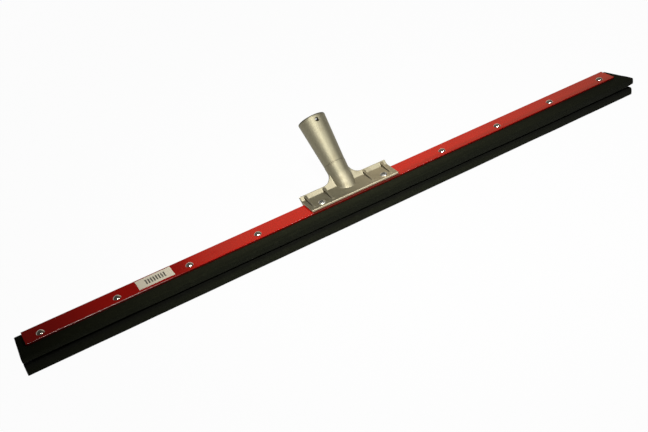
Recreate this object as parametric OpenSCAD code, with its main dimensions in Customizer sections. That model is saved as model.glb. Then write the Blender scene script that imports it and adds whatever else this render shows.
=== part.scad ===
// Double-blade floor squeegee head.
// Two sponge-rubber strips with a spacer bar between them are clamped by two steel
// plates and a row of rivets. A cast bracket on the upper plate takes the handle.
// The origin is on the underside of the lower plate, on the line of the fasteners,
// under the middle of the bracket. X runs along the bar and -Y is the lip side.

/* [Clamp plates] */
// Length of both clamp plates
plate_l = 890; // [800:1:1200]
// Width of both clamp plates, front to back
plate_w = 27; // [25:0.5:40]
// Thickness of both clamp plates
plate_t = 3.2; // [2.6:0.1:5]
// Radius along the long edges of the plates
plate_edge_r = 0.8; // [0.3:0.1:1.2]
// Radius of the corners of the plates, seen from above
plate_corner_r = 1.5; // [1:0.5:6]
// Distance from the front edge of the plates to the line of fasteners
fastener_inset = 10; // [8.5:0.5:13]
// Gap all round between a fastener and its hole
fastener_gap = 0.1; // [0.05:0.05:0.3]

/* [Rivets] */
// Distance from the end of a plate to its outermost rivet
rivet_end_inset = 19.5; // [12:0.5:30]
// Diameter of a rivet's shank
rivet_d = 4.8; // [4:0.1:6.4]
// Diameter of a rivet's domed head
rivet_head_d = 10; // [8.5:0.1:13]
// Height of a rivet's domed head
rivet_head_h = 2.8; // [2:0.1:4]
// Diameter of a rivet's tail, spread flush into the lower plate
rivet_tail_d = 8; // [7:0.1:9.5]

/* [Foam strips] */
// Thickness of each foam strip
foam_t = 9.5; // [7:0.1:13]
// Thickness of the spacer bar between the strips
spacer_t = 6.4; // [4:0.1:9]
// How far each strip runs past the ends of the plates, at the middle of its depth
strip_overhang = 11; // [6:0.5:20]
// How far the lips stand out in front of the plates
lip_reach = 18; // [12:0.5:25]
// Radius along the front edges of the lips
lip_edge_r = 1.2; // [0.4:0.1:2.5]
// How far the left end is cut out of square, longer at the lip
left_end_skew = 4; // [0:0.5:10]
// How far the right end is cut out of square, longer at the lip
right_end_skew = 12; // [0:0.5:14]

/* [Lip bend] */
// Distance in front of the plates at which a lip bends
bend_inset = 5; // [4:0.5:8]
// Gap round the bend
bend_gap = 0.3; // [0.2:0.05:0.6]
// Angle that a lip bends, up or down
lip_swing = 30; // [10:1:40]

/* [Bracket flange] */
// Length of the flange along the plate
flange_l = 133; // [130:1:170]
// Thickness of the flange
flange_t = 3; // [2:0.1:5]
// Distance from the front edge of the plate to the front edge of the flange
flange_front_inset = 2.5; // [1:0.5:4]
// Radius of the flange's front corners
flange_corner_r = 2; // [0.5:0.5:6]

/* [Bracket web and ribs] */
// Distance from the back edge of the plate to the foot of the leaning web
web_set_back = 3.5; // [3:0.1:6]
// Thickness of the web
web_t = 4.5; // [3.8:0.1:6]
// Height of the web above the flange, along its slope
web_h = 7.2; // [6:0.1:10]
// How far the web's front face lies in front of the socket's axis
web_forward = 2.2; // [0.5:0.1:3]
// How far the web's ends stand inside the flange's ends
web_end_inset = 0.5; // [0.3:0.1:3]
// Radius of the hollow at the foot of the web
web_foot_r = 2; // [1:0.5:4]
// Radius of the fillets from the web to the socket
web_fillet_r = 15; // [10:0.5:18]
// How far the web hooks down behind the plate
heel_drop = 4.2; // [2:0.1:5]
// Gap between the hook and the back edge of the plate
heel_gap = 0.2; // [0.1:0.05:0.5]
// Thickness of each rib
rib_t = 3.5; // [2.5:0.1:4.5]
// Distance from the middle of the bracket to an inner rib
inner_rib_x = 31; // [28:0.5:36]
// Distance from the middle of the bracket to an outer rib
outer_rib_x = 59; // [57:0.5:61]
// Distance from the front edge of the flange to the front of the ribs
rib_front_inset = 5.5; // [2:0.5:12]
// Height of a rib at its front end
rib_nose_h = 0.6; // [0.3:0.1:2]
// How far below the web's top the ribs end
rib_top_drop = 1.5; // [0.2:0.1:3]

/* [Handle socket] */
// Angle of the socket above the plate
socket_angle = 46; // [40:0.5:55]
// Length of the socket's axis above the flange
socket_l = 96; // [90:1:120]
// Outer diameter of the socket at its mouth
socket_mouth_d = 39.2; // [38:0.1:45]
// Outer diameter of the socket at its casting line
socket_waist_d = 30.2; // [28:0.1:33]
// Outer diameter of the socket at the flange
socket_foot_d = 27.2; // [25:0.1:30]
// Distance from the flange up to the casting line
casting_line_h = 28; // [24:0.5:40]
// Step at the casting line, all round
casting_step = 0.25; // [0.1:0.05:0.6]
// Chamfer of the rim
rim_chamfer = 0.8; // [0.2:0.1:1.5]
// Diameter of the bore at the mouth, where it is straight
bore_d = 28.6; // [26:0.1:33]
// Length of the straight part of the bore
bore_straight_l = 12; // [11:0.5:20]
// Depth of the whole bore
bore_depth = 82; // [60:1:84]
// Diameter of the bore at its closed end
bore_end_d = 20; // [14:0.1:22]
// Diameter of the hole for the handle's cross screw
cross_hole_d = 5; // [4:0.1:6.5]
// Distance from the rim to the cross hole
cross_hole_inset = 8; // [6.5:0.5:8.5]

/* [Bracket screws] */
// Distance between the two screws
screw_pitch = 95; // [88:0.5:98]
// Diameter of a screw's shank
screw_d = 5; // [4:0.1:5.6]
// Length of a screw under its head
screw_l = 22; // [16:0.5:26]
// Diameter of a screw's pan head
screw_head_d = 9.8; // [8:0.1:10]
// Height of the straight side of a screw's head
screw_head_side_h = 1.4; // [0.8:0.1:2]
// Height of the domed top of a screw's head
screw_head_dome_h = 1.9; // [1:0.1:2.4]
// Length of each slot of the cross recess
recess_l = 5; // [3:0.1:6]
// Width of each slot of the cross recess
recess_w = 1.2; // [0.6:0.1:2]
// Depth of the cross recess
recess_depth = 1.8; // [0.8:0.1:2.4]
// Outer diameter of a barrel nut
barrel_d = 7; // [6.4:0.1:8]
// Diameter of a barrel nut's head, flush in the lower plate
barrel_head_d = 11; // [9:0.1:12]
// Gap between a barrel nut and the upper plate
barrel_top_gap = 0.6; // [0.3:0.1:2]
// Depth of a barrel nut's bore past the screw's tip
barrel_bore_spare = 1.5; // [0.5:0.1:3]

/* [Label] */
// Length of the paper label
label_l = 46; // [30:0.5:70]
// Width of the paper label
label_w = 20; // [12:0.5:22]
// Thickness of the paper label
label_t = 0.2; // [0.1:0.05:0.4]
// Distance from the back edge of the plate to the label
label_back_inset = 2.5; // [1:0.5:3]
// How far the label sits to the right of the middle between its two rivets
label_shift = 3; // [0:0.5:12]

/* [Hidden] */
$fn = 96;

// Colours of the pieces
paint_red = [0.72, 0.16, 0.14];
sponge_black = [0.10, 0.11, 0.09];
filler_black = [0.16, 0.16, 0.15];
cast_grey = [0.66, 0.62, 0.51];
bright_steel = [0.80, 0.80, 0.78];
paper_cream = [0.87, 0.84, 0.74];

// Extra length by which pieces of one solid run into each other, or a cut runs out
overlap = 1;
// Size of the blocks that trim the bracket
trim_size = 2 * (flange_l + socket_l);
// Depth below flush at which the hollow at the foot of the web runs out
hollow_sink = 0.05;

// Heights of the layers, from the floor up
lower_foam_z = plate_t;
spacer_z = lower_foam_z + foam_t;
upper_foam_z = spacer_z + spacer_t;
upper_plate_z = upper_foam_z + foam_t;
stack_h = upper_plate_z + plate_t;
flange_top = stack_h + flange_t;

// Edges of the plates and strips, front to back
plate_front = -fastener_inset;
plate_back = plate_w - fastener_inset;
lip_front = plate_front - lip_reach;
bend_y = plate_front - bend_inset;
lip_l = bend_y - lip_front;
groove_r = foam_t / 2 + bend_gap;
strip_front = bend_y + groove_r * sin(lip_swing);
strip_half_l = plate_l / 2 + strip_overhang;

// Rivets, numbered from the left end to the right end
RIVET_NUMBERS = [1 : 8];
rivets_each_side = 4;
outermost_x = plate_l / 2 - rivet_end_inset;
rivet_pitch = (outermost_x - screw_pitch / 2) / rivets_each_side;
function side_rivet_x(n) = screw_pitch / 2 + n * rivet_pitch;
function rivet_x(i) = i <= rivets_each_side
    ? -side_rivet_x(rivets_each_side + 1 - i)
    : side_rivet_x(i - rivets_each_side);
rivet_tail_h = (rivet_tail_d - rivet_d) / 2;

// Bracket screws and their barrel nuts
SCREW_SIDES = [-1, 1];
screw_tip_z = flange_top - screw_l;
barrel_top_z = upper_plate_z - barrel_top_gap;
barrel_head_h = (barrel_head_d - barrel_d) / 2;

// Bracket
flange_front = plate_front + flange_front_inset;
web_foot_y = plate_back + web_set_back;
web_foot_h = -web_forward / tan(socket_angle);
web_top_h = web_foot_h + web_h;
web_l = flange_l - 2 * web_end_inset;
socket_axis_y = web_foot_y + web_forward / sin(socket_angle);
rib_h = web_h - rib_top_drop;
rib_top_y = web_foot_y + rib_h * cos(socket_angle);
rib_top_z = flange_top + rib_h * sin(socket_angle);
// Depth below the flange, along the axis, to which the socket runs before it is trimmed
socket_tail = socket_foot_d;

// Outer radius of the socket at a height along its axis
foot_taper = (socket_waist_d - socket_foot_d) / 2 / casting_line_h;
function socket_r(h) = socket_foot_d / 2 + foot_taper * h;

// A profile drawn in Y and Z, run along X about the middle of the bar
module along_x(length) {
    translate([-length / 2, 0, 0])
        rotate([90, 0, 90])
            linear_extrude(length)
                children();
}

// A rectangle with round corners, from one corner at the origin
module round_rect(size, r) {
    translate([r, 0]) square([size.x - 2 * r, size.y]);
    translate([0, r]) square([size.x, size.y - 2 * r]);
    for (x = [r, size.x - r], y = [r, size.y - r])
        translate([x, y]) circle(r);
}

// The right half of a low dome, for turning about its axis
module dome_profile(d, h) {
    ball_r = (d * d / 4 + h * h) / (2 * h);
    intersection() {
        translate([0, h - ball_r]) circle(ball_r);
        square([d, h]);
    }
}

// Holes on the fastener line, through everything from one height to another
module rivet_holes(from_z, to_z) {
    for (i = RIVET_NUMBERS)
        translate([rivet_x(i), 0, from_z])
            cylinder(d = rivet_d + 2 * fastener_gap, h = to_z - from_z);
}

module screw_holes(d, from_z, to_z) {
    for (side = SCREW_SIDES)
        translate([side * screw_pitch / 2, 0, from_z])
            cylinder(d = d + 2 * fastener_gap, h = to_z - from_z);
}

// A countersink in the floor face for a flush head, with the gap all round
module floor_countersink(head_d, head_h) {
    top_d = head_d + 2 * fastener_gap;
    translate([0, 0, -overlap]) cylinder(d = top_d, h = overlap);
    cylinder(d1 = top_d, d2 = top_d - 2 * head_h, h = head_h);
}

// One flat bar with round long edges and round corners
module plate_bar() {
    intersection() {
        along_x(plate_l)
            translate([plate_front, 0]) round_rect([plate_w, plate_t], plate_edge_r);
        translate([-plate_l / 2, plate_front, 0])
            linear_extrude(plate_t) round_rect([plate_l, plate_w], plate_corner_r);
    }
}

module upper_clamp_plate() {
    color(paint_red)
    difference() {
        translate([0, 0, upper_plate_z]) plate_bar();
        rivet_holes(upper_plate_z - overlap, stack_h + overlap);
        screw_holes(screw_d, upper_plate_z - overlap, stack_h + overlap);
    }
}

module lower_clamp_plate() {
    color(paint_red)
    difference() {
        plate_bar();
        rivet_holes(-overlap, plate_t + overlap);
        screw_holes(barrel_d, -overlap, plate_t + overlap);
        for (i = RIVET_NUMBERS)
            translate([rivet_x(i), 0, 0]) floor_countersink(rivet_tail_d, rivet_tail_h);
        for (side = SCREW_SIDES)
            translate([side * screw_pitch / 2, 0, 0])
                floor_countersink(barrel_head_d, barrel_head_h);
    }
}

module spacer_bar() {
    color(filler_black)
    difference() {
        translate([-plate_l / 2, plate_front, spacer_z]) cube([plate_l, plate_w, spacer_t]);
        rivet_holes(spacer_z - overlap, upper_foam_z + overlap);
        screw_holes(barrel_d, spacer_z - overlap, upper_foam_z + overlap);
    }
}

// Outline of a strip from above, with its two ends cut a little out of square
module strip_plan() {
    polygon([
        [-strip_half_l + left_end_skew / 2, plate_back],
        [-strip_half_l - left_end_skew / 2, lip_front],
        [strip_half_l + right_end_skew / 2, lip_front],
        [strip_half_l - right_end_skew / 2, plate_back]
    ]);
}

// A profile run along the strip and cut to the strip's outline
module along_strip() {
    intersection() {
        along_x(2 * strip_half_l + left_end_skew + right_end_skew) children();
        linear_extrude(foam_t) strip_plan();
    }
}

// The clamped part of a strip, with a groove in its front for the lip to turn in
module clamped_strip() {
    along_strip()
        difference() {
            translate([strip_front, 0]) square([plate_back - strip_front, foam_t]);
            translate([bend_y, foam_t / 2]) circle(groove_r);
        }
}

// The free lip of a strip, round at the bend and at its two front edges
module free_lip() {
    along_strip()
        translate([bend_y, foam_t / 2]) {
            circle(d = foam_t);
            translate([-lip_l / 2, -foam_t / 2]) square([lip_l / 2, foam_t]);
            translate([-lip_l, -foam_t / 2]) round_rect([lip_l, foam_t], lip_edge_r);
        }
}

module bored_strip(z) {
    color(sponge_black)
    difference() {
        translate([0, 0, z]) clamped_strip();
        rivet_holes(z - overlap, z + foam_t + overlap);
        screw_holes(barrel_d, z - overlap, z + foam_t + overlap);
    }
}

module upper_foam_strip() {
    bored_strip(upper_foam_z);
}

module lower_foam_strip() {
    bored_strip(lower_foam_z);
}

module upper_foam_lip() {
    color(sponge_black) translate([0, 0, upper_foam_z]) free_lip();
}

module lower_foam_lip() {
    color(sponge_black) translate([0, 0, lower_foam_z]) free_lip();
}

// A domed head on the upper plate, a shank, and a tail spread flush with the floor face
module rivet(i) {
    color(bright_steel)
    translate([rivet_x(i), 0, 0])
        rotate_extrude() {
            translate([0, stack_h]) dome_profile(rivet_head_d, rivet_head_h);
            square([rivet_d / 2, stack_h + rivet_head_h / 2]);
            polygon([[0, 0], [rivet_tail_d / 2, 0], [rivet_d / 2, rivet_tail_h], [0, rivet_tail_h]]);
        }
}

// Puts a piece that is drawn upright about Z onto the socket's leaning axis
module on_socket_axis() {
    translate([0, socket_axis_y, flange_top])
        rotate([socket_angle - 90, 0, 0])
            children();
}

module socket_outside() {
    rotate_extrude()
        polygon([
            [0, -socket_tail],
            [socket_r(-socket_tail), -socket_tail],
            [socket_r(casting_line_h), casting_line_h],
            [socket_r(casting_line_h) - casting_step, casting_line_h],
            [socket_mouth_d / 2, socket_l - rim_chamfer],
            [socket_mouth_d / 2 - rim_chamfer, socket_l],
            [0, socket_l]
        ]);
}

module socket_bore() {
    rotate_extrude()
        polygon([
            [0, socket_l - bore_depth],
            [bore_end_d / 2, socket_l - bore_depth],
            [bore_d / 2, socket_l - bore_straight_l],
            [bore_d / 2, socket_l + overlap],
            [0, socket_l + overlap]
        ]);
}

// Hole for the handle's cross screw, through the upper wall alone
module cross_hole() {
    translate([0, 0, socket_l - cross_hole_inset])
        rotate([90, 0, 0])
            cylinder(d = cross_hole_d, h = socket_mouth_d);
}

// The web's outline: a low wall that sweeps up into the socket on both sides
module web_outline() {
    fillet_top = web_top_h + web_fillet_r;
    fillet_x = socket_r(fillet_top) + web_fillet_r;
    translate([-web_l / 2, -socket_tail]) square([web_l, socket_tail + web_top_h]);
    difference() {
        translate([-fillet_x, 0]) square([2 * fillet_x, fillet_top]);
        for (side = SCREW_SIDES)
            translate([side * fillet_x, fillet_top]) circle(web_fillet_r);
    }
}

module web() {
    translate([0, web_t - web_forward, 0])
        rotate([90, 0, 0])
            linear_extrude(web_t) web_outline();
}

// The hollow between the flange and the web, which runs out a little below flush in both
module web_foot() {
    centre_h = web_foot_r - hollow_sink;
    reach = centre_h * tan(socket_angle / 2);
    web_end_y = web_foot_y + reach * cos(socket_angle);
    web_end_z = flange_top + reach * sin(socket_angle);
    along_x(web_l)
        difference() {
            polygon([
                [web_foot_y - reach, flange_top - overlap],
                [web_foot_y - reach, flange_top + centre_h],
                [web_end_y, web_end_z],
                [web_end_y + overlap, web_end_z],
                [web_foot_y + overlap, flange_top - overlap]
            ]);
            translate([web_foot_y - reach, flange_top + centre_h]) circle(web_foot_r);
        }
}

// The room that the bracket may fill: above the plate, and a hook's depth behind it
module bracket_room() {
    translate([-trim_size / 2, -trim_size / 2, stack_h]) cube(trim_size);
    translate([-trim_size / 2, plate_back + heel_gap, stack_h - heel_drop])
        cube([trim_size, trim_size, heel_drop + overlap]);
}

// The flange on the plate, with round front corners
module flange() {
    flange_w = web_foot_y + overlap - flange_front;
    translate([-flange_l / 2, flange_front, stack_h])
        linear_extrude(flange_t) {
            round_rect([flange_l, flange_w], flange_corner_r);
            translate([0, flange_corner_r]) square([flange_l, flange_w - flange_corner_r]);
        }
}

// A sloping rib from the top of the web down to the front of the flange
module rib(x) {
    rib_front = flange_front + rib_front_inset;
    translate([x, 0, 0])
        along_x(rib_t)
            polygon([
                [rib_front, flange_top - overlap],
                [rib_top_y + overlap, flange_top - overlap],
                [rib_top_y + overlap, rib_top_z],
                [rib_top_y, rib_top_z],
                [rib_front, flange_top + rib_nose_h]
            ]);
}

module handle_bracket() {
    color(cast_grey)
    difference() {
        union() {
            flange();
            web_foot();
            for (x = [inner_rib_x, outer_rib_x], side = SCREW_SIDES) rib(side * x);
            intersection() {
                on_socket_axis() {
                    socket_outside();
                    web();
                }
                bracket_room();
            }
        }
        on_socket_axis() {
            socket_bore();
            cross_hole();
        }
        screw_holes(screw_d, stack_h - overlap, flange_top + overlap);
    }
}

// A pan-head screw with a cross recess
module bracket_screw(side) {
    head_top = flange_top + screw_head_side_h + screw_head_dome_h;
    color(bright_steel)
    translate([side * screw_pitch / 2, 0, 0])
        difference() {
            rotate_extrude() {
                translate([0, screw_tip_z]) square([screw_d / 2, screw_l + overlap]);
                translate([0, flange_top]) square([screw_head_d / 2, screw_head_side_h]);
                translate([0, flange_top + screw_head_side_h])
                    dome_profile(screw_head_d, screw_head_dome_h);
            }
            for (turn = [0, 90])
                rotate(turn)
                    translate([-recess_l / 2, -recess_w / 2, head_top - recess_depth])
                        cube([recess_l, recess_w, recess_depth + overlap]);
        }
}

module left_bracket_screw() {
    bracket_screw(-1);
}

module right_bracket_screw() {
    bracket_screw(1);
}

// A sleeve with a flush head that takes a bracket screw from below
module barrel_nut(side) {
    bore_floor = screw_tip_z - barrel_bore_spare;
    color(bright_steel)
    translate([side * screw_pitch / 2, 0, 0])
        difference() {
            union() {
                cylinder(d = barrel_d, h = barrel_top_z);
                cylinder(d1 = barrel_head_d, d2 = barrel_d, h = barrel_head_h);
            }
            translate([0, 0, bore_floor])
                cylinder(d = screw_d + 2 * fastener_gap, h = barrel_top_z - bore_floor + overlap);
        }
}

module left_barrel_nut() {
    barrel_nut(-1);
}

module right_barrel_nut() {
    barrel_nut(1);
}

// A paper label on the upper plate, between the second and third rivets
module plate_label() {
    label_x = (rivet_x(2) + rivet_x(3)) / 2 + label_shift;
    color(paper_cream)
    translate([label_x - label_l / 2, plate_back - label_back_inset - label_w, stack_h])
        cube([label_l, label_w, label_t]);
}

upper_clamp_plate();
lower_clamp_plate();
spacer_bar();
upper_foam_strip();
upper_foam_lip();
lower_foam_strip();
lower_foam_lip();
for (i = RIVET_NUMBERS) rivet(i);
handle_bracket();
left_bracket_screw();
right_bracket_screw();
left_barrel_nut();
right_barrel_nut();
plate_label();
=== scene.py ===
# %% [markdown]
# # A floor squeegee head
# Two strips of black sponge rubber are clamped between red steel plates, and a cast
# aluminium bracket carries the socket for a handle. The packed CAD model already has the
# sizes, the joints and the rigid pieces. This lesson adds what CAD leaves plain: finishes,
# the soft rubber blades, and the rounded skin of the casting.

# %% The frame
import math

import bmesh
import bpy
import numpy as np
from mathutils import Matrix, Vector, noise


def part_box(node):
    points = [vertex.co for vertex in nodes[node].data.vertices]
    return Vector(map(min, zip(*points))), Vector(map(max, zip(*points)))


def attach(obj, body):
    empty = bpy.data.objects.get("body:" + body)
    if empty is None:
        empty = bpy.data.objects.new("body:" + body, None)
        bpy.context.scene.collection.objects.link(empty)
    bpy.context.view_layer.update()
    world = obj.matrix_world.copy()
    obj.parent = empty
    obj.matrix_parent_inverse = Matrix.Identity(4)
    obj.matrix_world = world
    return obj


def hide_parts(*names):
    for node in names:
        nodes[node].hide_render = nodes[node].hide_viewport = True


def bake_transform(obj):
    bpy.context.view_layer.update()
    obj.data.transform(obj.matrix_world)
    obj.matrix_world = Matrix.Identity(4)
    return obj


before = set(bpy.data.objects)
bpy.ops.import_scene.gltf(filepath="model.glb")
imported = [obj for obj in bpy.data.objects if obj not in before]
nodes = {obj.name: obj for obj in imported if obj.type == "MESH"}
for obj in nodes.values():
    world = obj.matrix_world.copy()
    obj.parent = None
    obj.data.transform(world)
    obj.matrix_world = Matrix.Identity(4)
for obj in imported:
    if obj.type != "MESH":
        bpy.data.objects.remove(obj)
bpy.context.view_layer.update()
MM = 0.001

# %% [markdown]
# ## The camera
# The photograph looks down on the bar from the front left, with the camera turned a little
# about its own axis, so the bar climbs from lower left to upper right. The usual track
# helpers keep the camera level. The turn is part of the picture here, so the camera gets a
# matrix made of its own right, up and backward directions.

# %% Camera
PHOTO_WIDTH_PX = 648
FOCAL_PX = 898.2
CAMERA_PLACE = Vector((-439.6, -896.0, 651.2)) * MM
CAMERA_LOOK = Vector((0.33526, 0.76798, -0.54572)).normalized()
CAMERA_UP = Vector((0.39237, 0.41280, 0.82198)).normalized()


def put(name, data):
    """An object with this data, linked to the scene."""
    thing = bpy.data.objects.new(name, data)
    bpy.context.scene.collection.objects.link(thing)
    return thing


camera_data = bpy.data.cameras.new("photo_camera")
camera_data.sensor_fit = "HORIZONTAL"
camera_data.lens = FOCAL_PX / PHOTO_WIDTH_PX * camera_data.sensor_width
camera = put("photo_camera", camera_data)
camera_axes = Matrix((CAMERA_LOOK.cross(CAMERA_UP), CAMERA_UP, -CAMERA_LOOK)).transposed()
camera.matrix_world = Matrix.Translation(CAMERA_PLACE) @ camera_axes.to_4x4()
bpy.context.scene.camera = camera
bpy.context.scene.view_settings.view_transform = "Standard"
print("lens in mm:", round(camera_data.lens, 1))

# %% [markdown]
# ## Writing shader maths
# Every finish below is made of nodes. Laying nodes by hand hides the idea behind them, so
# one small class wraps an output socket and lets sums be written as sums: `1 - mask` adds a
# Math node.

# %% Shader sums
class Wire:
    """An output socket that can stand in a sum."""

    def __init__(self, finish, socket):
        self.finish = finish
        self.socket = socket

    def sum_of(self, operation, first, second):
        """A Math node on two values."""
        return self.finish.add("ShaderNodeMath", {"operation": operation},
                               {0: first, 1: second})

    def __add__(self, other):
        return self.sum_of("ADD", self, other)

    def __radd__(self, other):
        return self.sum_of("ADD", other, self)

    def __sub__(self, other):
        return self.sum_of("SUBTRACT", self, other)

    def __rsub__(self, other):
        return self.sum_of("SUBTRACT", other, self)

    def __mul__(self, other):
        return self.sum_of("MULTIPLY", self, other)

    def __rmul__(self, other):
        return self.sum_of("MULTIPLY", other, self)

    def __mod__(self, other):
        return self.sum_of("FLOORED_MODULO", self, other)

    def __abs__(self):
        return self.sum_of("ABSOLUTE", self, 0.0)

    def at_most(self, limit):
        return self.sum_of("MINIMUM", self, limit)

    def at_least(self, limit):
        return self.sum_of("MAXIMUM", self, limit)


print("a wire understands + - * % abs, at_most and at_least")

# %% [markdown]
# A second class holds the node tree. Its method `add` makes any node from its type, its
# settings and its inputs. The other methods name what the finishes ask for again and again:
# where a point lies, which way the surface faces, cloudy noise, a soft mask, and layers of
# colour.

# %% Node trees
class Finish:
    """A node tree for a material or the world, filled one node at a time."""

    def __init__(self, tree):
        self.tree = tree
        self.tree.nodes.clear()

    def add(self, kind, settings=None, inputs=None, output=0):
        """Any node: its type, settings, input values or wires, and the output to use."""
        node = self.tree.nodes.new(kind)
        for name, value in (settings or {}).items():
            setattr(node, name, value)
        for key, value in (inputs or {}).items():
            if isinstance(value, Wire):
                self.tree.links.new(value.socket, node.inputs[key])
            else:
                node.inputs[key].default_value = value
        return Wire(self, node.outputs[output]) if node.outputs else node

    def vector(self, operation, first, second, output="Vector"):
        """A Vector Math node on two vectors."""
        return self.add("ShaderNodeVectorMath", {"operation": operation},
                        {0: first, 1: second}, output)

    def place(self, stretch=(1, 1, 1)):
        """Where a point lies, in metres, stretched for a grain that runs one way."""
        return self.vector("MULTIPLY", self.add("ShaderNodeTexCoord", output="Object"), stretch)

    def along(self, axis, vector=None):
        """One coordinate of a vector, or of a point's own place."""
        return self.add("ShaderNodeSeparateXYZ", None, {0: vector or self.place()}, axis)

    def normal(self, axis):
        """How far the surface faces along an axis, from -1 to 1."""
        return self.along(axis, self.add("ShaderNodeNewGeometry", output="Normal"))

    def from_line(self, start, direction):
        """A point's distance from a straight line."""
        across = self.vector("CROSS_PRODUCT", self.vector("SUBTRACT", self.place(), start),
                             direction)
        return self.vector("LENGTH", across, (0, 0, 0), "Value")

    def grain(self, size, detail=2.0, stretch=(1, 1, 1)):
        """Cloudy noise whose blotches are about this many metres across."""
        return self.add("ShaderNodeTexNoise", None,
                        {"Vector": self.place(stretch), "Scale": 1 / size, "Detail": detail})

    def step(self, value, low, high):
        """0 below low, 1 above high, and a smooth rise between."""
        return self.add("ShaderNodeMapRange", {"interpolation_type": "SMOOTHSTEP"},
                        {"Value": value, "From Min": low, "From Max": high})

    def fade(self, value, low, high):
        """1 below low, 0 above high, and a smooth fall between."""
        return 1 - self.step(value, low, high)

    def band(self, value, rise, fall):
        """1 between a smooth rise and a smooth fall, each given by its two ends."""
        return self.step(value, *rise) * self.fade(value, *fall)

    def mix(self, share, first, second):
        """A share of the second colour over the first."""
        return self.add("ShaderNodeMix", {"data_type": "RGBA"},
                        {0: share, 6: first, 7: second}, 2)

    def layered(self, colour, *layers):
        """A colour under thin layers, each a pair of its share and its own colour."""
        for share, layer in layers:
            colour = self.mix(share, colour, layer)
        return colour

    def dent(self, height, depth, strength):
        """A normal that shows height as dents up to this many metres deep."""
        return self.add("ShaderNodeBump", None,
                        {"Height": height, "Distance": depth, "Strength": strength})

    def close(self, shader, output="ShaderNodeOutputMaterial"):
        """Ends the tree with this shader."""
        self.add(output, None, {"Surface": shader})


print("a finish offers:", [name for name in vars(Finish) if not name.startswith("_")])

# Colours are written as levels from 0 to 255, as on a screen, and turned into the linear
# values that a shader takes. A new finish comes with its node tree. Pieces that CAD already
# has keep their mesh and are dressed in a finish.

# %% Colours and dressing
def srgb(red, green, blue):
    """A screen colour for a shader's linear socket."""
    def linear(level):
        level = level / 255
        return level / 12.92 if level <= 0.04045 else ((level + 0.055) / 1.055) ** 2.4
    return (linear(red), linear(green), linear(blue), 1.0)


def new_finish(name):
    material = bpy.data.materials.new(name)
    material.use_nodes = True
    return material, Finish(material.node_tree)


def dress(material, *names):
    """Gives CAD nodes a finish in place of the plain one that they were packed with."""
    for name in names:
        nodes[name].data.materials.clear()
        nodes[name].data.materials.append(material)
    print(material.name, "on", len(names), "pieces")


print("middle grey on a linear socket:", round(srgb(128, 128, 128)[0], 3))

# %% [markdown]
# ## Floor and light
# The photograph is a cut-out on white. A white floor under even light would do, but then
# the light on the object is bound to the whiteness of the floor. So the floor shows mostly
# white to the camera and to mirror rays, and a small share of it stays a plain lit surface,
# which keeps the object's shadow. Far out the paper sweeps up to a low wall that falls into
# shade, so that from a low view, and in the domes of the rivets, there is paper behind the
# object and no dark gap.

# %% Floor mesh
FLOOR_DROP = 0.2 * MM
SWEEP = ((12.0, 0.0), (13.4, 0.25), (14.4, 1.0), (14.8, 2.0), (15.0, 3.5))
SIDES = 64

points = []
for radius, rise in SWEEP:
    for side in range(SIDES):
        turn = 2 * math.pi * side / SIDES
        points.append((radius * math.cos(turn), radius * math.sin(turn), rise - FLOOR_DROP))
faces = [tuple(range(SIDES))]
for ring in range(len(SWEEP) - 1):
    for side in range(SIDES):
        first, second = ring * SIDES + side, ring * SIDES + (side + 1) % SIDES
        faces.append((first, second, second + SIDES, first + SIDES))
floor_mesh = bpy.data.meshes.new("floor")
floor_mesh.from_pydata(points, [], faces)
floor = put("floor", floor_mesh)
print("floor:", len(faces), "faces")

# %% [markdown]
# The white is a share of plain emission, which only camera and mirror rays see. The share
# falls with height, and that is the shade on the wall.

# %% Floor paper
FLOOR_WHITE_SHARE = 0.97
WALL_FADE = 0.67
WALL_FADE_HEIGHT = 2.0

floor_paper, finish = new_finish("floor_paper")
seen = finish.add("ShaderNodeLightPath", output="Is Camera Ray")
for ray in ("Is Glossy Ray", "Is Transmission Ray"):
    seen = seen + finish.add("ShaderNodeLightPath", output=ray)
up_the_wall = finish.step(finish.along("Z"), 0.0, WALL_FADE_HEIGHT)
white_share = seen * (FLOOR_WHITE_SHARE - WALL_FADE * up_the_wall)
lit = finish.add("ShaderNodeBsdfDiffuse", None, {"Color": srgb(196, 196, 194)})
white = finish.add("ShaderNodeEmission", None, {"Color": (1, 1, 1, 1), "Strength": 1.0})
finish.close(finish.add("ShaderNodeMixShader", None, {0: white_share, 1: lit, 2: white}))
floor_mesh.materials.append(floor_paper)
print("floor paper shows", FLOOR_WHITE_SHARE, "of plain white")

# %% [markdown]
# The light in the photograph pools right of the middle of the bar and dies away to the
# left. The bright band on the socket and the lit edge of the plate both point to one round
# lamp, up in front and left of the middle. So the key is a spot lamp there, aimed to the
# right, with a cone that ends at the bar's left end. A weak lamp on the right fills the
# bracket's web, and a narrow one on the left widens the bright band on the socket. A dim
# card behind on the right shows as the pale sheen on the paint and on the bracket's flange,
# and not at the left end.

# %% Lamps
def hang(name, data, place, target):
    """Puts a lamp at a place and turns it towards a target."""
    lamp = put(name, data)
    lamp.location = place
    lamp.rotation_euler = (Vector(target) - Vector(place)).to_track_quat("-Z", "Y").to_euler()


def spot(name, watts, cone, radius, place, target):
    data = bpy.data.lights.new(name, "SPOT")
    data.energy = watts
    data.spot_size = math.radians(cone)
    data.spot_blend = 1.0
    data.shadow_soft_size = radius
    hang(name, data, place, target)


def soft_box(name, watts, width, height, colour, place, target):
    data = bpy.data.lights.new(name, "AREA")
    data.shape = "RECTANGLE"
    data.energy = watts
    data.size = width
    data.size_y = height
    data.color = colour
    hang(name, data, place, target)


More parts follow.
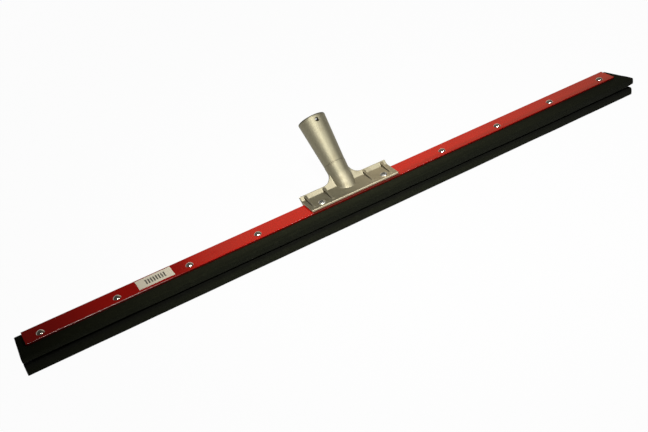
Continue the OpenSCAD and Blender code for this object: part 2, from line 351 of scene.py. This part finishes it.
spot("key_lamp", watts=84, cone=55, radius=0.13,
     place=(-0.36, -0.7, 1.1), target=(0.2, 0.0, 0.03))
spot("web_lamp", watts=30, cone=40, radius=0.2,
     place=(0.49, -0.71, 1.03), target=(0.0, 0.02, 0.05))
spot("socket_lamp", watts=20, cone=12, radius=0.1,
     place=(-0.81, -0.51, 0.92), target=(0.0, 0.075, 0.095))
soft_box("back_card", watts=2.65, width=2.0, height=1.0, colour=(1.0, 0.9, 0.6),
         place=(1.2, 1.75, 1.15), target=(0.0, 0.0, 0.03))

# %% [markdown]
# A faint, slightly warm sky keeps the shadows from going quite black.

# %% World
WORLD_STRENGTH = 0.04

world = bpy.data.worlds.new("studio")
world.use_nodes = True
bpy.context.scene.world = world
finish = Finish(world.node_tree)
sky = finish.add("ShaderNodeBackground", None,
                 {"Color": (1.0, 0.98, 0.94, 1.0), "Strength": WORLD_STRENGTH})
finish.close(sky, "ShaderNodeOutputWorld")
print("world strength:", WORLD_STRENGTH)

# %% [markdown]
# ## Red paint
# The plates are flat steel bars under a coat of glossy red enamel that has seen use. Painted
# shade darkens the upright edges, where the plate meets the rubber, and the narrow strip in
# front of the bracket. Painted shade also darkens the front of the plate on the right half,
# and the paint around the label. Towards the left end a painted highlight lies in spots on
# the rounded front edge. Painting all that by hand would need an image. Here each place is a
# soft mask: the surface's own normal tells the edges from the flats, and a point's place
# finds the rest.

# %% Masks on the paint
plate_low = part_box("upper_clamp_plate")[0]
flange_low, flange_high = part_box("handle_bracket")
STRIP_SIDES = (flange_high.x - 1 * MM, flange_high.x + 2 * MM)
STRIP_BACK = (flange_low.y + 0.3 * MM, flange_low.y + 0.9 * MM)
FRONT_SHADE_LEFT = (-80 * MM, 120 * MM)
FRONT_SHADE_BACK = (plate_low.y + 3 * MM, plate_low.y + 11 * MM)
LABEL_SHADE_RISE, LABEL_SHADE_FALL = (-370 * MM, -260 * MM), (-246 * MM, -226 * MM)
EDGE_HIGHLIGHT_RISE, EDGE_HIGHLIGHT_FALL = (-450 * MM, -380 * MM), (-325 * MM, -240 * MM)
EDGE_HIGHLIGHT_BACK = (plate_low.y + 0.6 * MM, plate_low.y + 1.1 * MM)

red_enamel, finish = new_finish("red_enamel")
x_place, y_place = finish.along("X"), finish.along("Y")
upright = abs(finish.normal("Z"))
# Painted shade: upright faces, such as the plate's edges, are darkened.
upright_shade = finish.fade(upright, 0.1, 0.7)
# Painted shade on the strip of plate in front of the bracket.
strip = finish.fade(abs(x_place), *STRIP_SIDES) * finish.fade(y_place, *STRIP_BACK)
# Painted shade on the front of the plate's right half.
front_shade = finish.step(x_place, *FRONT_SHADE_LEFT) * finish.fade(y_place, *FRONT_SHADE_BACK)
# Painted shade on the paint around the label.
label_shade = finish.band(x_place, LABEL_SHADE_RISE, LABEL_SHADE_FALL)
# A painted highlight in spots on the rounded front edge near the left end.
rounded = finish.step(upright, 0.3, 0.45) * finish.fade(y_place, *EDGE_HIGHLIGHT_BACK)
spots = 0.4 + 0.6 * finish.step(finish.grain(4 * MM, 3.0), 0.42, 0.58)
edge_highlight = rounded * spots * finish.band(x_place, EDGE_HIGHLIGHT_RISE, EDGE_HIGHLIGHT_FALL)
print("strip in front of the bracket:", round((flange_low.y - plate_low.y) / MM, 1), "mm")

# %% [markdown]
# A single red would look like plastic. Real enamel has a faint ripple, cloudy depth, dark
# specks and a few dull patches, so noise drives its colour, its roughness and a very shallow
# dent. The masks then lay thin layers over it. The painted shade on the strip is matt, so it
# has a shader of its own, which a Mix Shader lays over the paint.

# %% Red paint
cloud = finish.grain(60 * MM, 3.0)
speck = finish.step(finish.grain(1.4 * MM, 2.0), 0.66, 0.8)
dull = finish.step(finish.grain(16 * MM, 3.0), 0.52, 0.78)
colour = finish.layered(
    finish.mix(cloud, srgb(166, 12, 3), srgb(182, 17, 5)),
    (speck * 0.25, srgb(132, 10, 5)),
    # Painted shade around the label.
    (label_shade * 0.5, srgb(118, 4, 1)),
    # Painted shade on the front of the right half.
    (front_shade * 0.4, srgb(116, 8, 3)),
    # Painted shade on the upright edges.
    (upright_shade * 0.85, srgb(48, 6, 3)),
    # A painted highlight on the rounded front edge.
    (edge_highlight * 0.85, srgb(226, 200, 192)),
)
paint = finish.add("ShaderNodeBsdfPrincipled", None, {
    "Base Color": colour,
    # The painted highlight is also partly metallic.
    "Metallic": 0.4 * edge_highlight,
    "Roughness": 0.17 + 0.07 * dull,
    "Normal": finish.dent(finish.grain(14 * MM, 1.0), 0.03 * MM, 0.4),
})
# A matt painted shade over the strip, without the paint's sheen.
painted_shade = finish.add("ShaderNodeBsdfDiffuse", None, {"Color": srgb(70, 31, 22)})
shade_share = strip * (1 - upright_shade) * 0.9
finish.close(finish.add("ShaderNodeMixShader", None, {0: shade_share, 1: paint, 2: painted_shade}))
dress(red_enamel, "upper_clamp_plate", "lower_clamp_plate")

# %% [markdown]
# ## Bright steel
# Rivets and screws are zinc plated, with a fine grain and a little grey tarnish. The rivets
# were pressed to a smooth dome, so each shows one small glint. The screws are paler and
# duller, and painted shade darkens the cross for the driver, which is found by its depth
# below the head. Old zinc has a thin chalky film, so Metallic sits below one, and the noise
# goes into colour and roughness.

# %% Bright steel
CROSS_R = (2.8 * MM, 3.2 * MM)
CROSS_FLOOR_DEPTH = (2.6 * MM, 2.4 * MM)
CROSS_MOUTH_DEPTH = (0.7 * MM, 0.4 * MM)


def zinc(name, roughness, light, painted_shade=None):
    """Zinc plate of this colour. The last argument, given the finish, masks a painted shade."""
    material, finish = new_finish(name)
    tarnish = finish.step(finish.grain(2.2 * MM, 3.0), 0.5, 0.8)
    colour = finish.mix(tarnish, light, srgb(160, 152, 136))
    if painted_shade:
        # Painted shade: where the mask is 1, the zinc is darkened.
        colour = finish.mix(painted_shade(finish), colour, srgb(40, 38, 34))
    finish.close(finish.add("ShaderNodeBsdfPrincipled", None, {
        "Base Color": colour,
        "Metallic": 0.9,
        "Roughness": roughness + 0.1 * tarnish,
        "Normal": finish.dent(finish.grain(0.5 * MM, 2.0), 0.01 * MM, 0.5),
    }))
    return material


def in_cross(finish):
    """1 inside the recess of a bracket screw's head."""
    low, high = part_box("right_bracket_screw")
    across = abs(finish.along("X")) - (low.x + high.x) / 2
    deep = finish.along("Y") - (low.y + high.y) / 2
    near = finish.fade(across * across + deep * deep, *[r ** 2 for r in CROSS_R])
    sunk = finish.band(finish.along("Z"), [high.z - depth for depth in CROSS_FLOOR_DEPTH],
                       [high.z - depth for depth in CROSS_MOUTH_DEPTH])
    return near * sunk


dress(zinc("pressed_zinc", 0.1, srgb(206, 198, 182)),
      *[name for name in nodes if name.startswith("rivet_")])
# The screws get painted shade in the cross of their heads.
dress(zinc("dull_zinc", 0.26, srgb(246, 244, 236), in_cross),
      "left_bracket_screw", "right_bracket_screw", "left_barrel_nut", "right_barrel_nut")

# %% [markdown]
# ## Spacer
# The bar between the blades is only seen through the gap from behind. It is dull black
# filler with a sawn grain along its length, which is noise that is stretched one way.

# %% Spacer
SAW_STRETCH = (0.08, 1, 1)

sawn_filler, finish = new_finish("sawn_filler")
saw = finish.grain(1.2 * MM, 3.0, SAW_STRETCH)
finish.close(finish.add("ShaderNodeBsdfPrincipled", None, {
    "Base Color": finish.mix(saw, srgb(24, 23, 21), srgb(46, 44, 40)),
    "Roughness": 0.62 + 0.2 * saw,
    "Normal": finish.dent(saw, 0.15 * MM, 0.6),
}))
dress(sawn_filler, "spacer_bar")

# %% [markdown]
# ## Sponge rubber
# The blades are closed-cell sponge: black with an olive cast, quite dull, mottled, and full
# of fine pores. A little dust lies on top, and painted shade makes the rubber blacker towards
# the right end. A painted shadow of the upper blade darkens the lower one towards the gap
# between them. Painted shade also makes the upper lip's front blacker in the middle. As on
# the paint, a point's place gives the masks. The gap is not quite level, so its line leans
# and droops with x.

# %% Masks on the rubber
GAP = 2.4 * MM
GAP_LEAN = 0.004
GAP_DROOP = 0.0012
GAP_SHADOW_TOP, GAP_SHADOW_BOTTOM = (-1 * MM, 0.0), (0.5 * MM, 8 * MM)
UPPER_BLADE = (-2 * MM, -1 * MM)
LIP_SHADE_SIDES = (140 * MM, 330 * MM)
BLACKER_LEFT = (40 * MM, 420 * MM)

strip_low, strip_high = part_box("upper_foam_strip")
lip_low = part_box("upper_foam_lip")[0]
LIP_SHADE_BACK = (lip_low.y + 3 * MM, lip_low.y + 11 * MM)

sponge_rubber, finish = new_finish("sponge_rubber")
x_place = finish.along("X")
top = finish.step(finish.normal("Z"), 0.5, 0.95)
# Painted shade: the rubber darkens towards the right end.
rightward = finish.step(x_place, *BLACKER_LEFT)
gap_line = strip_low.z - GAP - GAP_LEAN * x_place - GAP_DROOP * abs(x_place)
below = gap_line - finish.along("Z")
# Painted shadow of the upper blade on the lower one, below the gap.
gap_shadow = finish.band(below, GAP_SHADOW_TOP, GAP_SHADOW_BOTTOM)
# Painted shade on the upper lip's front in the middle.
lip_front_shade = finish.fade(finish.along("Y"), *LIP_SHADE_BACK) * finish.fade(abs(x_place), *LIP_SHADE_SIDES)
lip_front_shade = lip_front_shade * finish.fade(below, *UPPER_BLADE)
print("free rubber in front of the plate:", round((plate_low.y - lip_low.y) / MM, 1), "mm")

# %% [markdown]
# A Voronoi texture gives the cells of the sponge. Their dark centres go into the colour and
# their walls into the dent, so both tell the same story.

# %% Sponge rubber
CELL_SIZE = 0.9 * MM

mottle = finish.grain(14 * MM, 4.0)
dust = finish.step(finish.grain(5 * MM, 5.0), 0.5, 0.8)
cells = finish.add("ShaderNodeTexVoronoi", None,
                   {"Vector": finish.place(), "Scale": 1 / CELL_SIZE, "Randomness": 1.0},
                   "Distance")
pore = finish.fade(cells, 0.12, 0.42)
colour = finish.layered(
    finish.mix(mottle, srgb(16, 18, 9), srgb(27, 29, 16)),
    (dust * 0.2 + top * 0.13, srgb(53, 55, 38)),
    (pore * 0.6, srgb(7, 7, 5)),
    # Painted shade towards the right end.
    (rightward * 0.5, srgb(6, 6, 3)),
    # Painted shadow below the gap.
    (gap_shadow * 0.85, srgb(5, 5, 3)),
    # Painted shade on the upper lip's front.
    (lip_front_shade * 0.5, srgb(8, 10, 4)),
)
finish.close(finish.add("ShaderNodeBsdfPrincipled", None, {
    "Base Color": colour,
    "Roughness": 0.76 + 0.2 * mottle,
    "Specular IOR Level": 0.1,
    "Normal": finish.dent(1 - pore + 0.6 * mottle, 0.18 * MM, 0.7),
}))
print("sponge cells in mm:", round(CELL_SIZE / MM, 1))

# %% [markdown]
# ## The blades
# On the real head each blade is one long strip, clamped at the back and free at the front.
# CAD splits it at the bend so that the lip can turn. A piece that is seen should not show
# that split, so each blade is lofted here as one closed mesh: a section with rounded front
# edges is repeated along the bar, and its shape changes slowly on the way. First come the
# slow changes. The lower lip has bulged up towards the upper one, so the gap between them is
# a thin line in the middle and opens at the right end. The lower lip also lies a little
# further back, so the upper one shades it.

# %% How the lips change along the bar
LEFT_HALF, RIGHT_HALF = 457 * MM, 460 * MM
SET_BACK, SET_BACK_CHANGE = 1.3 * MM, 0.5 * MM
UPPER_LIFT_LEFT, UPPER_DROP_RIGHT = 2.1 * MM, 1.3 * MM
DIP_X, DIP_HALF_LENGTH, DIP_DEPTH = 290 * MM, 80 * MM, 1.0 * MM
GAP_MORE_LEFT, GAP_MORE_RIGHT = 0.8 * MM, 1.1 * MM
OPENING_X, OPENING_LENGTH, OPENING_HALF = 452 * MM, 12 * MM, 1.0 * MM


def smooth(value):
    """A smooth rise from 0 to 1."""
    value = min(1.0, max(0.0, value))
    return value * value * (3 - 2 * value)


def towards_ends(x):
    """How far x lies towards the left end and towards the right end, each from 0 to 1."""
    return max(0.0, -x / LEFT_HALF), max(0.0, x / RIGHT_HALF)


def set_back(x):
    """How far the lower lip's front lies behind the upper one's."""
    left, right = towards_ends(x)
    return SET_BACK - SET_BACK_CHANGE * left + SET_BACK_CHANGE * right


def gap_edges(x):
    """Heights of the gap's upper and lower edges at the front of the lips."""
    left, right = towards_ends(x)
    dip = math.exp(-((x - DIP_X) / DIP_HALF_LENGTH) ** 2)
    upper = strip_low.z + UPPER_LIFT_LEFT * left - UPPER_DROP_RIGHT * right - DIP_DEPTH * dip
    gap = GAP + GAP_MORE_LEFT * left + GAP_MORE_RIGHT * right
    opening = OPENING_HALF * smooth((x - OPENING_X) / OPENING_LENGTH)
    return upper + opening, upper - gap - opening


for place, x in (("left end", -LEFT_HALF), ("middle", 0.0), ("right end", RIGHT_HALF)):
    upper, lower = gap_edges(x)
    print("gap at the", place, round((upper - lower) / MM, 1), "mm")

# %% [markdown]
# The section runs from the back over the top to the front, and returns below. In front of
# the plates the rubber swells a little, and its front edges are worn round, more in some
# places than in others. The noise of mathutils is the same on every run.

# %% Blade section
BACK_Y = strip_high.y
FRONT_Y = lip_low.y
PLATE_EDGE_Y = plate_low.y
CLAMPED_Y = [BACK_Y, 12 * MM, 6 * MM, 0, -5 * MM, -8.5 * MM, PLATE_EDGE_Y]
FREE_SHARES = (0.05, 0.1, 0.18, 0.27, 0.38, 0.49, 0.6, 0.71, 0.8)
EDGE_TURNS = [math.radians(angle) for angle in (0, 22, 45, 68, 90)]
EDGE_R = 1.2 * MM
EDGE_WEAR = 0.45
WEAR_LENGTH, WEAR_HEIGHT = 0.05, 0.01
FRONT_SWELL = 0.35 * MM
FACE_BULGE = 0.25 * MM
FACE_BULGE_PLACE = 0.3


def section(x, front, top, bottom, top_front, bottom_front, top_r):
    """The blade's outline at x as (y, z) points."""
    reach = PLATE_EDGE_Y - front
    ys = CLAMPED_Y + [PLATE_EDGE_Y - reach * share for share in FREE_SHARES]

    def free_at(y):
        out = min(1.0, max(0.0, (PLATE_EDGE_Y - y) / reach))
        return smooth(out), FRONT_SWELL * math.sin(math.pi * out)

    def top_at(y):
        share, swell = free_at(y)
        return top + (top_front - top) * share + swell

    def bottom_at(y):
        share, swell = free_at(y)
        return bottom + (bottom_front - bottom) * share - swell

    wear = noise.noise(Vector((x / WEAR_LENGTH, top / WEAR_HEIGHT, 3)))
    low_r = EDGE_R * (1 + EDGE_WEAR * wear)
    high_r = top_r / EDGE_R * low_r
    upper = [(y, top_at(y)) for y in ys]
    lower = [(y, bottom_at(y)) for y in ys]
    for a in EDGE_TURNS:
        upper.append((front + high_r - high_r * math.sin(a),
                      top_front - high_r + high_r * math.cos(a)))
        lower.append((front + low_r - low_r * math.sin(a),
                      bottom_front + low_r - low_r * math.cos(a)))
    face = top_front - high_r - bottom_front - low_r
    upper.append((front - FACE_BULGE, top_front - high_r - face * FACE_BULGE_PLACE))
    lower.append((front - FACE_BULGE, bottom_front + low_r + face * FACE_BULGE_PLACE))
    return upper + lower[::-1]


print("points in a section:", 2 * (len(CLAMPED_Y) + len(FREE_SHARES) + len(EDGE_TURNS) + 1))

# %% [markdown]
# The loft takes one section every few millimetres. The two ends are cut a little out of
# square, so a point's place along the bar depends on how far forward it lies. A last,
# slightly smaller section at each end breaks the sharp edge of the cut. The free rubber gets
# a slow ripple, which fades out towards the plates.

# %% Blade points
LEFT_END = (-454.0 * MM, -456.3 * MM)
RIGHT_END = (452.3 * MM, 464.6 * MM)
END_BEVEL = 0.5 * MM
SECTIONS_APART = 4 * MM
RIPPLE_START, RIPPLE_RAMP = 1 * MM, 4 * MM
RIPPLE_FORWARD = 0.5
SLOW_RIPPLE, SLOW_LENGTH, SLOW_WIDTH = 0.28 * MM, 0.06, 0.03
QUICK_RIPPLE, QUICK_SIZE, QUICK_SHIFT = 0.1 * MM, 0.011, 7


def ripple(x, y, z):
    """A slow unevenness of the free rubber, in metres."""
    slow = noise.noise(Vector((x / SLOW_LENGTH, y / SLOW_WIDTH, z / SLOW_WIDTH)))
    quick = noise.noise(Vector((x / QUICK_SIZE, y / QUICK_SIZE + QUICK_SHIFT,
                                z / QUICK_SIZE)))
    return SLOW_RIPPLE * slow + QUICK_RIPPLE * quick


def blade_ring(share, outline, shrink):
    """One section's points in space, at this share of the blade's length."""
    centre = np.mean(outline, axis=0)
    ring = []
    for y, z in outline:
        forward = (BACK_Y - y) / (BACK_Y - FRONT_Y)
        left = LEFT_END[0] + (LEFT_END[1] - LEFT_END[0]) * forward
        right = RIGHT_END[0] + (RIGHT_END[1] - RIGHT_END[0]) * forward
        x = left + share * (right - left)
        free = smooth((PLATE_EDGE_Y - RIPPLE_START - y) / RIPPLE_RAMP)
        rise = ripple(x, y, z) * free
        y_in = shrink if y < centre[0] else -shrink
        side = 1 if z > centre[1] else -1
        ring.append((x, y + y_in + RIPPLE_FORWARD * rise, z - side * shrink + side * rise))
    return ring


def blade_rings(form):
    """All sections from left to right. form(x) gives what each section needs."""
    length = RIGHT_END[1] - LEFT_END[1]
    bevel = END_BEVEL / length
    count = round(length / SECTIONS_APART)
    rings = []
    for share in [0.0, bevel] + [i / count for i in range(1, count)] + [1 - bevel, 1.0]:
        x_front = LEFT_END[1] + share * length
        shrink = END_BEVEL if share in (0.0, 1.0) else 0.0
        rings.append(blade_ring(share, section(x_front, *form(x_front)), shrink))
    return rings


print("blade length in mm:", round((RIGHT_END[1] - LEFT_END[1]) / MM, 1))

# %% [markdown]
# Faces join each ring to the next, and a ladder of faces closes each end. All faces are then
# turned outwards and shaded smooth.

# %% Blade mesh
def ring_faces(rings):
    size = len(rings[0])
    last_ring = (len(rings) - 1) * size
    faces = []
    for first in range(0, last_ring, size):
        for j in range(size):
            k = (j + 1) % size
            faces.append((first + j, first + k, first + size + k, first + size + j))
    for j in range(size // 2 - 1):
        across = size - 1 - j
        faces.append((j, across, across - 1, j + 1))
        faces.append((last_ring + j + 1, last_ring + across - 1,
                      last_ring + across, last_ring + j))
    return faces


def loft_blade(name, form):
    """A closed strip of rubber through its sections along the bar."""
    rings = blade_rings(form)
    mesh = bpy.data.meshes.new(name)
    mesh.from_pydata([point for ring in rings for point in ring], [], ring_faces(rings))
    mesh.validate()
    shaped = bmesh.new()
    shaped.from_mesh(mesh)
    bmesh.ops.recalc_face_normals(shaped, faces=shaped.faces)
    shaped.to_mesh(mesh)
    shaped.free()
    mesh.polygons.foreach_set("use_smooth", [True] * len(mesh.polygons))
    mesh.materials.append(sponge_rubber)
    print(name, len(mesh.polygons), "faces")
    return put(name, mesh)


print("faces of a square bar of three rings:", len(ring_faces([[0] * 4] * 3)))

# %% [markdown]
# The two blades differ only in what their sections need. Their clamped parts lie a hair
# inside the CAD strips, so that no two surfaces share a plane. Each blade then takes the
# place of its two CAD nodes, which are hidden, and runs smoothly from the clamped part into
# the lip.

# %% Blades
SKIN_GAP = 0.02 * MM
LOWER_SAG = 0.85 * MM
SAG_PER_SET_BACK = 0.55
ROUNDER_RIGHT = 1.2 * MM
under_low, under_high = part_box("lower_foam_strip")


def upper_form(x):
    bottom_front = gap_edges(x)[0]
    return (FRONT_Y, strip_high.z - SKIN_GAP, strip_low.z + SKIN_GAP,
            strip_high.z, bottom_front, EDGE_R)


def lower_form(x):
    top_front = gap_edges(x)[1]
    bottom_front = under_low.z - LOWER_SAG - SAG_PER_SET_BACK * set_back(x)
    top_r = EDGE_R + ROUNDER_RIGHT * max(0.0, x / RIGHT_END[1])
    return (FRONT_Y + set_back(x), under_high.z - SKIN_GAP, under_low.z + SKIN_GAP,
            top_front, bottom_front, top_r)


for level, form in (("upper", upper_form), ("lower", lower_form)):
    blade = loft_blade(level + "_blade", form)
    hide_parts(level + "_foam_strip", level + "_foam_lip")
    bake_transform(blade)

# %% [markdown]
# ## The casting
# CAD cuts the bracket with sharp edges. A sand casting has none: every edge and corner is
# rounded by the mould. Bevelling a shape with so many crossing curves by hand is slow, so
# the CAD mesh is copied, welded to a closed skin, rebuilt as even small faces by a voxel
# remesh, and then smoothed until the edges turn over at about a millimetre.

# %% Casting mesh
WELD_GAP = 0.001 * MM
VOXEL = 0.55 * MM
SMOOTH_FACTOR = 0.5
SMOOTH_STEPS = 4

casting = put("handle_casting", nodes["handle_bracket"].data.copy())
weld = casting.modifiers.new("closed skin", "WELD")
weld.merge_threshold = WELD_GAP
remesh = casting.modifiers.new("even faces", "REMESH")
remesh.mode = "VOXEL"
remesh.voxel_size = VOXEL
relax = casting.modifiers.new("round edges", "SMOOTH")
relax.factor = SMOOTH_FACTOR
relax.iterations = SMOOTH_STEPS
bpy.context.view_layer.update()
rounded_casting = casting.evaluated_get(bpy.context.evaluated_depsgraph_get())
cast_mesh = bpy.data.meshes.new_from_object(rounded_casting)
casting.modifiers.clear()
casting.data = cast_mesh
cast_mesh.polygons.foreach_set("use_smooth", [True] * len(cast_mesh.polygons))
print("casting:", len(cast_mesh.polygons), "faces")

# %% [markdown]
# Smoothing also wipes out the fine line where two parts of the mould met, so the points near
# that line are drawn in again.

# %% Casting line
SOCKET_FOOT = Vector((0.0, 23.56, 34.8)) * MM
SOCKET_ANGLE = math.radians(46)
SOCKET_AXIS = Vector((0.0, math.cos(SOCKET_ANGLE), math.sin(SOCKET_ANGLE)))
LINE_H = 28 * MM
LINE_DEPTH = 0.2 * MM
LINE_HALF_WIDTH = 0.7 * MM
LINE_LEAST_R = 13 * MM

drawn_in = 0
for point in cast_mesh.vertices:
    height = (point.co - SOCKET_FOOT).dot(SOCKET_AXIS)
    outward = point.co - SOCKET_FOOT - SOCKET_AXIS * height
    if abs(height - LINE_H) < 3 * LINE_HALF_WIDTH and outward.length > LINE_LEAST_R:
        share = math.exp(-((height - LINE_H) / LINE_HALF_WIDTH) ** 2)
        point.co -= outward.normalized() * LINE_DEPTH * share
        drawn_in += 1
print(drawn_in, "points drawn in at the casting line")

# %% [markdown]
# ## Cast aluminium
# The bracket is bare cast aluminium with a dull, warm skin. First come the marks on the
# socket. Painted shade darkens its bore and its cross hole. The casting line holds dirt, so it
# is darker, and the rim of the mouth is darker too. Painted shade makes the outside a little
# darker, and the outside is a little smoother. A point's height along the socket and its
# distance from the axis find each of them.

# %% Marks on the socket
BORE_R = 14.3 * MM
BORE_END_R = 10 * MM
BORE_END_H = 14 * MM
BORE_TAPER_L = 70 * MM
BORE_SKIN = (0.3 * MM, 0.9 * MM)
BORE_FLOOR = (10 * MM, 13 * MM)
HOLE_PLACE = SOCKET_FOOT + SOCKET_AXIS * 88 * MM
HOLE_AXIS = Vector((0.0, -SOCKET_AXIS.z, SOCKET_AXIS.y))
HOLE_EDGE = (2.4 * MM, 2.7 * MM)
LINE_EDGE = (0.1 * MM, 0.7 * MM)
RIM_H, RIM_R = (93.2 * MM, 94.8 * MM), (17.5 * MM, 18.5 * MM)
SOCKET_SHADE_H, SOCKET_SHADE_R = (4 * MM, 14 * MM), (20.5 * MM, 22 * MM)

cast_aluminium, finish = new_finish("cast_aluminium")
from_foot = finish.vector("SUBTRACT", finish.place(), SOCKET_FOOT)
height = finish.vector("DOT_PRODUCT", from_foot, SOCKET_AXIS, "Value")
from_axis = finish.from_line(SOCKET_FOOT, SOCKET_AXIS)
taper = BORE_END_R + (BORE_R - BORE_END_R) / BORE_TAPER_L * (height - BORE_END_H)
bore = finish.fade(from_axis - taper.at_most(BORE_R), *BORE_SKIN)
bore = bore * finish.step(height, *BORE_FLOOR)
hole = finish.fade(finish.from_line(HOLE_PLACE, HOLE_AXIS), *HOLE_EDGE)
# Painted shade inside the bore and the cross hole.
inside = bore.at_least(hole)
line = finish.fade(abs(height - LINE_H), *LINE_EDGE)
rim = finish.step(height, *RIM_H) * finish.step(from_axis, *RIM_R)
# Painted shade on the outside of the socket, which is also a little smoother.
socket_shade = finish.step(height, *SOCKET_SHADE_H) * finish.fade(from_axis, *SOCKET_SHADE_R)
print("the cross hole is", round((HOLE_PLACE - SOCKET_FOOT).length / MM), "mm up the socket")

# %% [markdown]
# Then come the marks on the rest. Painted shade darkens the hollow corners and the sides of
# the ribs. A painted highlight brightens the edges, but not those of the upper socket. The
# mesh's own curvature tells hollows from edges. A painted highlight makes the flange's front
# edge a chalky light line, and painted light makes the flange chalky towards the right.
# Painted light makes the leaning web the lightest part.

# %% Painted light and shade on the bracket
FRONT_EDGE = (flange_low.y + 0.5 * MM, flange_low.y + 1.2 * MM)
NO_WEAR_H = (33 * MM, 35 * MM)
LEVEL, LEANING = (0.75, 0.95), (0.45, 0.6)
RIGHT_LIGHT_FROM = (-25 * MM, 60 * MM)
RIBS_IN, RIBS_OUT = (27 * MM, 28 * MM), (63 * MM, 64 * MM)
RIBS_TOP = (39.2 * MM, 39.8 * MM)

bend = finish.add("ShaderNodeNewGeometry", output="Pointiness")
# Painted shade in the hollow corners.
hollow = finish.fade(bend, 0.42, 0.48)
# A painted highlight on the edges.
ridge = finish.step(bend, 0.515, 0.57) * finish.fade(height, *NO_WEAR_H)
# A painted highlight on the flange's front edge.
front = finish.fade(finish.along("Y"), *FRONT_EDGE)
upright = finish.normal("Z")
x_place = finish.along("X")
# Painted light on the leaning web.
web = finish.band(upright, LEANING, LEVEL) * (1 - socket_shade)
# Painted light on the flange's level faces towards the right.
right_flange_light = finish.step(upright, *LEVEL) * (1 - socket_shade) * finish.step(x_place, *RIGHT_LIGHT_FROM)
at_ribs = finish.band(abs(x_place), RIBS_IN, RIBS_OUT)
at_ribs = at_ribs * finish.fade(finish.along("Z"), *RIBS_TOP)
# Painted shade on the sides of the ribs.
rib_side = finish.step(abs(finish.normal("X")), 0.35, 0.75) * at_ribs
print("flange from", round(-flange_high.x / MM, 1), "to", round(flange_high.x / MM, 1), "mm")

# %% [markdown]
# The skin is mostly a rough mirror with a little chalk in it, so Metallic sits below one.
# Fine grain from the sand and a few stains break up its sheen.

# %% Cast aluminium
# The cream of the painted highlights.
HIGHLIGHT_CREAM = srgb(222, 210, 178)

sand = finish.grain(0.8 * MM, 3.0)
stain = finish.step(finish.grain(11 * MM, 4.0), 0.5, 0.75)
colour = finish.layered(
    # The socket's outside takes a darker colour: painted shade.
    finish.mix(socket_shade, srgb(150, 144, 121), srgb(135, 130, 108)),
    # Painted light on the leaning web.
    (web, srgb(167, 160, 135)),
    # Painted light on the flange towards the right.
    (right_flange_light, srgb(158, 145, 116)),
    (stain * 0.5, srgb(124, 115, 91)),
    (finish.step(sand, 0.35, 0.65) * 0.15, srgb(104, 97, 78)),
    (line * 0.45, srgb(70, 64, 50)),
    (rim * 0.6, srgb(52, 49, 40)),
    # Painted shade in the hollow corners.
    (hollow * 0.9, srgb(44, 40, 29)),
    # A painted highlight on the edges.
    (ridge * 0.8, HIGHLIGHT_CREAM),
    # A painted highlight on the flange's front edge.
    (front * 0.45, HIGHLIGHT_CREAM),
    # Painted shade on the sides of the ribs.
    (rib_side * 0.75, srgb(58, 52, 40)),
    # Painted shade inside the bore and the cross hole.
    (inside * 0.9, srgb(38, 34, 28)),
)
finish.close(finish.add("ShaderNodeBsdfPrincipled", None, {
    "Base Color": colour,
    # The painted highlight on the front edge and the painted light on the right lower the
    # Metallic.
    "Metallic": 0.85 - 0.4 * front - 0.4 * right_flange_light * (1 - front),
    "Roughness": 0.54 + 0.1 * sand + 0.2 * inside - 0.2 * ridge - 0.03 * socket_shade,
    "Normal": finish.dent(sand, 0.08 * MM, 0.5),
}))
cast_mesh.materials.clear()
cast_mesh.materials.append(cast_aluminium)
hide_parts("handle_bracket")
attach(casting, "root")
print("cast_aluminium on the casting")

# %% [markdown]
# ## Paper label
# A cream paper label sticks to the plate near its left end. It carries a plain block of
# even bars. The remainder of a point's place, divided by the bars' pitch, repeats one bar.

# %% Paper label
BAR_PITCH = 3.4 * MM
BARS_HALF_L = 13.6 * MM
BARS_HALF_W = 5.2 * MM
INK_EDGE = 0.1 * MM

label_low, label_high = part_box("plate_label")
label_paper, finish = new_finish("cream_paper")
fibre = finish.grain(1.5 * MM, 4.0)
paper = finish.mix(fibre, srgb(238, 229, 206), srgb(222, 212, 186))
from_middle = finish.vector("SUBTRACT", finish.place(), (label_low + label_high) / 2)
across, deep = finish.along("X", from_middle), finish.along("Y", from_middle)
bars = finish.step(across % BAR_PITCH, 0.4 * BAR_PITCH, 0.5 * BAR_PITCH)
bars = bars * finish.fade(abs(across), BARS_HALF_L - INK_EDGE, BARS_HALF_L)
bars = bars * finish.fade(abs(deep), BARS_HALF_W - INK_EDGE, BARS_HALF_W)
finish.close(finish.add("ShaderNodeBsdfPrincipled", None, {
    "Base Color": finish.mix(bars * 0.85, paper, srgb(40, 38, 36)),
    "Roughness": 0.6 + 0.15 * fibre,
}))
dress(label_paper, "plate_label")

# %% [markdown]
